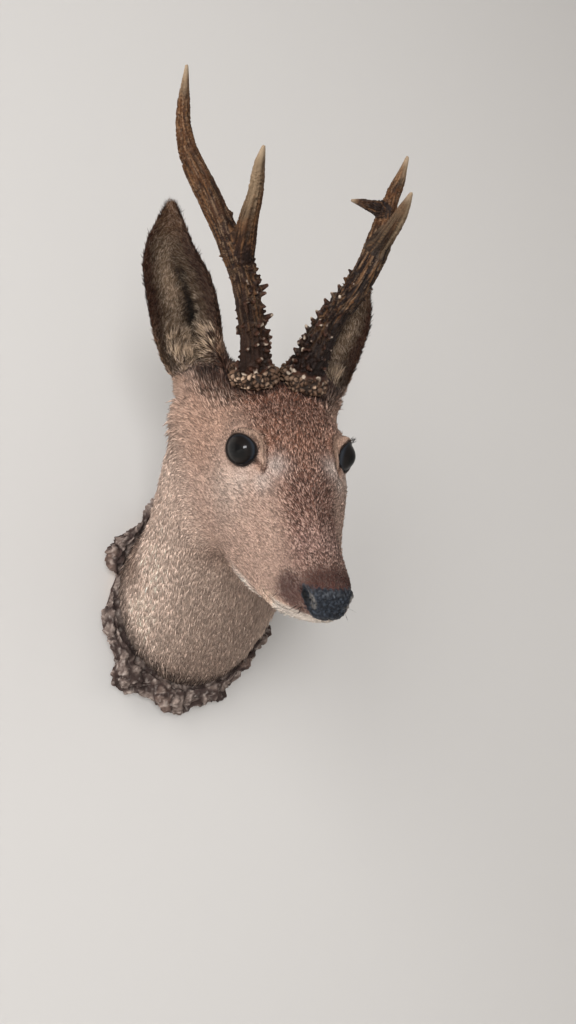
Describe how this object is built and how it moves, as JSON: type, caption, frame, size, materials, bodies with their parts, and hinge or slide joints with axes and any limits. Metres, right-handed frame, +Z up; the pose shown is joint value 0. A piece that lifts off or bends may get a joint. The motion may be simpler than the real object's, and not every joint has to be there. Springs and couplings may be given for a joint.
{
  "type": "roe deer shoulder mount",
  "caption": "Life-size mounted head and neck of a roe buck with pearled antlers, on a bark-edged board that hangs flat on a wall",
  "frame": {"origin": "The middle of the board's flat back, on the plane of the wall.", "axes": "+X to the viewer's right, +Y into the wall, +Z up. The buck looks out along -Y, with its nose turned a little towards -X."},
  "size_m": [0.2135, 0.3532, 0.3911],
  "materials": {
    "board": "planed, unvarnished",
    "bark": "rough bark",
    "coat": "short winter coat on tanned skin",
    "ear": "short fur, paler inside",
    "nose": "black, pebbled, slightly glossy",
    "eye": "polished dark eye",
    "antler": "brown grooved antler with ivory tips"
  },
  "bodies": {
    "root": {"board": "board", "bark": "bark", "neck_base": "coat", "neck": "coat", "head": "coat", "muzzle": "coat", "lower_jaw": "coat", "chin": "coat", "nose": "nose", "eye_right": "eye", "eye_left": "eye", "ear_right": "ear", "ear_left": "ear", "antler_right_beam": "antler", "antler_right_top": "antler", "antler_right_front_tine": "antler", "antler_left_beam": "antler", "antler_left_top": "antler", "antler_left_front_tine": "antler", "antler_left_rear_tine": "antler"}
  },
  "joints": []
}
